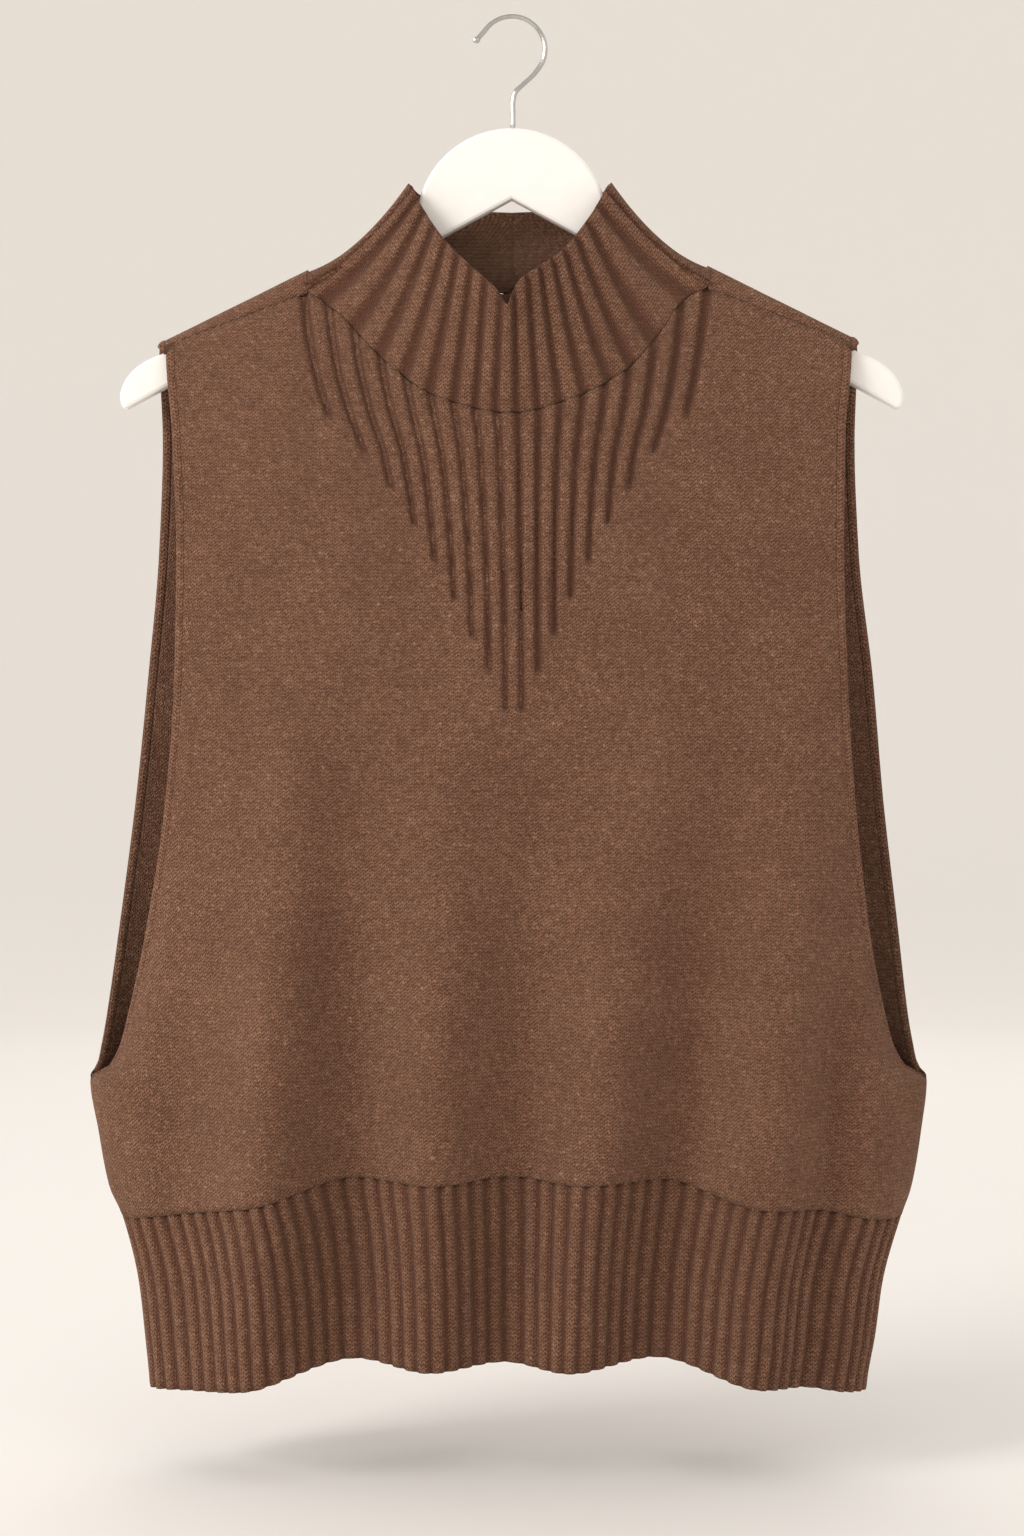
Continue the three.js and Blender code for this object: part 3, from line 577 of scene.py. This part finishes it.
# Collar: a rib funnel knitted on round the neck seam. Its ribs fan out over the yoke and its
# free edge stands round the hanger, pinched in at the middle of the front.
COLLAR_RIBS, COLUMNS_PER_COLLAR_RIB = 34, 10
COLLAR_COLUMNS, COLLAR_ROWS = COLLAR_RIBS * COLUMNS_PER_COLLAR_RIB, 36
FRONT_CORNER, BACK_CORNER = 8.5, 10.5
JUST_INSIDE = 0.01
COLLAR_LIFT = 0.1
COLLAR_STAND = 0.5
BASE_X, EDGE_X, EDGE_Y, EDGE_Z, SAG = range(1, 6)
COLLAR = [  # rib, x at the base, x, y and z at the free edge, sag
    (-17, 0, 0, 23, -106, 0),
    (-14, -54, -27, 21, -105, 1),
    (-11.5, -101, -48, 16, -99, 5),
    (-10.5, -116.5, -55.5, 10.5, -95, 5),
    (-9.5, -116.5, -58.6, 1.5, -92.5, 8.5),
    (-8.5, -116.5, -56.5, -9.5, -97, 5),
    (-6.5, -88, -49.5, -17, -111, 4),
    (-4.5, -60, -37.5, -24, -129, 3),
    (-2.5, -32, -23, -31, -144.5, 1),
    (-0.8, -12.5, -9, -36, -158, 0),
    (-0.1, -4.5, -3, -37.5, -166.5, 0),
    (0.7, 5, 3, -37, -155, 0),
    (2.5, 26.5, 16, -31, -144, 1),
    (4.5, 54, 29.5, -25, -133, 3),
    (6.5, 79.5, 42.5, -17.5, -116, 4),
    (8.5, 111.5, 53.5, -9.5, -97, 5),
    (9.5, 111.5, 56.4, 1.5, -92, 8),
    (10.5, 111.5, 53, 10.5, -95, 5),
    (11.5, 97, 46, 16, -99, 5),
    (14, 52, 26, 21, -105, 1),
    (17, 0, 0, 23, -106, 0),
]
ribbing = knit_material("wool_rib", shade=1.18, wale=2.6, course=2.2, fuzz=0.8)

rib = np.linspace(-COLLAR_RIBS / 2, COLLAR_RIBS / 2, COLLAR_COLUMNS, endpoint=False)
base_x = read(COLLAR, BASE_X, rib)
neck_z = read(NECKLINE, 1, base_x)
front_base = np.stack([base_x, -(stand_off(-1, base_x, neck_z) + SEAM_GAP / 2), neck_z], -1)
back_z = back_top(np.clip(base_x, NECK_LEFT + JUST_INSIDE, NECK_RIGHT - JUST_INSIDE))
back_base = np.stack([base_x, stand_off(1, base_x, back_z) + SEAM_GAP / 2, back_z], -1)
begin = seam_along(base_x)
over_share = np.clip((np.abs(rib) - FRONT_CORNER) / (BACK_CORNER - FRONT_CORNER), 0, 1)
crossing = over_ridge(base_x, begin + (BEND_LENGTH - begin) * over_share)
turn = np.abs(rib)[:, None]
base = np.where(turn >= BACK_CORNER, back_base, crossing)
base = np.where(turn <= FRONT_CORNER, front_base, base)
edge = np.stack([read(COLLAR, k, rib) for k in (EDGE_X, EDGE_Y, EDGE_Z)], -1)
sag = read(COLLAR, SAG, rib)
toward = edge - base
base = base + toward / np.linalg.norm(toward, axis=-1, keepdims=True) * COLLAR_LIFT
up = np.linspace(1, 0, COLLAR_ROWS)[:, None]
collar = base[None] + (edge - base)[None] * up[..., None]
collar[..., 1] = base[:, 1] + (edge - base)[:, 1] * (COLLAR_STAND * smooth(up) + (1 - COLLAR_STAND) * up)
collar[..., 2] -= sag * 4 * up * (1 - up)
collar_normal = facing(collar, collar - collar.mean((0, 1)), ring=True)
collar_ribs = rib_profile(np.repeat(rib[None], COLLAR_ROWS, 0), RIB_DEPTH)
collar_piece = cloth("funnel_collar", collar, collar_normal, collar_ribs, RIB_WALL, ribbing, ring=True)
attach(collar_piece, "root")
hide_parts("collar")

# Hem rib: a deep band of one by one rib at the foot of each panel, which draws the cloth in.
HEM_RIBS, COLUMNS_PER_HEM_RIB, HEM_ROWS = 54, 7, 26
HEM_RIB_DEPTH = 2.1
FIRST_HEM = -760
RIBS_SPACED_AT = -720
FINE_STEPS = 4001


def hem(side, name, node):
    count = HEM_RIBS * COLUMNS_PER_HEM_RIB + 1
    level = np.full(FINE_STEPS, float(RIBS_SPACED_AT))
    fine = even_shares(FINE_STEPS)
    fine_x = column_x(side, fine, level)
    step = np.hypot(np.diff(fine_x), np.diff(stand_off(side, fine_x, level)))
    cloth_run = np.concatenate([[0], np.cumsum(step)])
    u = np.interp(np.linspace(0, cloth_run[-1], count), cloth_run, fine)
    table = FRONT_HEM if side < 0 else BACK_HEM
    top = height_on(side, u, lambda x: read(table, RIB_LINE, x), FIRST_RIB) - SEAM_GAP / 3
    low = height_on(side, u, lambda x: read(table, HEM_LINE, x), FIRST_HEM)
    z = top + (low - top) * np.linspace(0, 1, HEM_ROWS)[:, None]
    x = column_x(side, u[None, :], z)
    grid = np.stack([x, side * (stand_off(side, x, z) + SEAM_GAP / 2), z], -1)
    ribs = rib_profile(np.linspace(0, HEM_RIBS, count)[None] + np.zeros(x.shape), HEM_RIB_DEPTH)
    piece = cloth(name, grid, facing(grid, (0, side, 0)), ribs, RIB_WALL, ribbing)
    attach(piece, "root")
    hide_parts(node)


hem(-1, "front_hem_rib", "hem_rib_front")
hem(1, "back_hem_rib", "hem_rib_back")


# Armhole edges: a narrow knitted cord linked round each armhole, front, underarm and back.
CORD_SIDES = 12
CORD_OUT, CORD_HALF_WIDTH = 2.4, 2.8
CORD_SINK, CORD_HALF_HEIGHT = 1.2, 1.75
CORD_STITCH = 2


def armhole_edge(column, name, node):
    def side_run(grid, normal):
        end = int(np.argmin(np.abs(grid[:, column, 2] - ARMHOLE_END)))
        return grid[: end + 1, column], normal[: end + 1, column]

    down, down_normal = side_run(front, front_normal)
    rise, rise_normal = side_run(back, back_normal)
    path = np.concatenate([down, rise[::-1][1:]])
    normal = np.concatenate([down_normal, rise_normal[::-1][1:]])
    ahead = np.roll(path, -1, 0) - np.roll(path, 1, 0)
    ahead /= np.linalg.norm(ahead, axis=-1, keepdims=True)
    out = np.cross(ahead, normal) * (-1 if column else 1)
    out /= np.linalg.norm(out, axis=-1, keepdims=True)
    angle = np.linspace(0, FULL_TURN, CORD_SIDES, endpoint=False)
    reach = CORD_OUT + CORD_HALF_WIDTH * np.cos(angle)
    lift = -CORD_SINK + CORD_HALF_HEIGHT * np.sin(angle)
    rings = path[:, None] + out[:, None] * reach[None, :, None] + normal[:, None] * lift[None, :, None]
    count = len(path)
    faces = []
    for i in range(count):
        here = i * CORD_SIDES
        there = (i + 1) % count * CORD_SIDES
        for k in range(CORD_SIDES):
            beside = (k + 1) % CORD_SIDES
            faces.append((here + k, there + k, there + beside, here + beside))
    piece = surface(name, rings.reshape(-1, 3) * MM, faces, ribbing)
    shape = bmesh.new()
    shape.from_mesh(piece.data)
    bmesh.ops.recalc_face_normals(shape, faces=shape.faces)
    shape.to_mesh(piece.data)
    shape.free()
    stitches = piece.data.uv_layers.new(name="stitches")
    run = np.concatenate([[0], np.cumsum(np.linalg.norm(np.diff(path, axis=0), axis=-1))])
    corner = np.zeros(len(piece.data.loops), int)
    piece.data.loops.foreach_get("vertex_index", corner)
    uv = np.stack([angle[corner % CORD_SIDES] * CORD_STITCH, run[corner // CORD_SIDES]], -1)
    stitches.data.foreach_set("uv", uv.astype(np.float32).ravel())
    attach(piece, "root")
    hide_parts(node)


armhole_edge(0, "left_armhole_edge", "armhole_band_left")
armhole_edge(-1, "right_armhole_edge", "armhole_band_right")

# Hanger: a flat wooden shirt hanger in satin white paint, with softly rounded edges.
paint = Nodes("white_paint")
brushed = paint.add("ShaderNodeTexNoise")
brushed.inputs["Scale"].default_value = 60
paint.link(paint.add("ShaderNodeTexCoord").outputs["Object"], brushed.inputs["Vector"])
tint = paint.add("ShaderNodeValToRGB")
tint.color_ramp.elements[0].color = srgb(243, 238, 231)
tint.color_ramp.elements[1].color = srgb(251, 247, 242)
paint.link(brushed.outputs["Fac"], tint.inputs[0])
paint.link(tint.outputs[0], paint.shader.inputs["Base Color"])
grain = paint.add("ShaderNodeBump")
grain.inputs["Strength"].default_value = 0.06
grain.inputs["Distance"].default_value = 0.0004
paint.link(brushed.outputs["Fac"], grain.inputs["Height"])
paint.link(grain.outputs[0], paint.shader.inputs["Normal"])
paint.shader.inputs["Roughness"].default_value = 0.42
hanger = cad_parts["hanger_body"]
hanger.data.materials.clear()
hanger.data.materials.append(paint.material)

# Hook: polished steel wire, bent by machine, with a small ball on its free end.
steel = Nodes("polished_wire")
drawn_marks = steel.add("ShaderNodeTexNoise")
drawn_marks.inputs["Scale"].default_value = 500
steel.link(steel.add("ShaderNodeTexCoord").outputs["Object"], drawn_marks.inputs["Vector"])
steel_ramp = steel.add("ShaderNodeValToRGB")
steel_ramp.color_ramp.elements[0].color = srgb(168, 164, 158)
steel_ramp.color_ramp.elements[1].color = srgb(196, 192, 186)
steel.link(drawn_marks.outputs["Fac"], steel_ramp.inputs[0])
steel.link(steel_ramp.outputs[0], steel.shader.inputs["Base Color"])
steel.shader.inputs["Metallic"].default_value = 1.0
steel.shader.inputs["Roughness"].default_value = 0.22
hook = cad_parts["hanger_hook"]
hook.data.materials.clear()
hook.data.materials.append(steel.material)
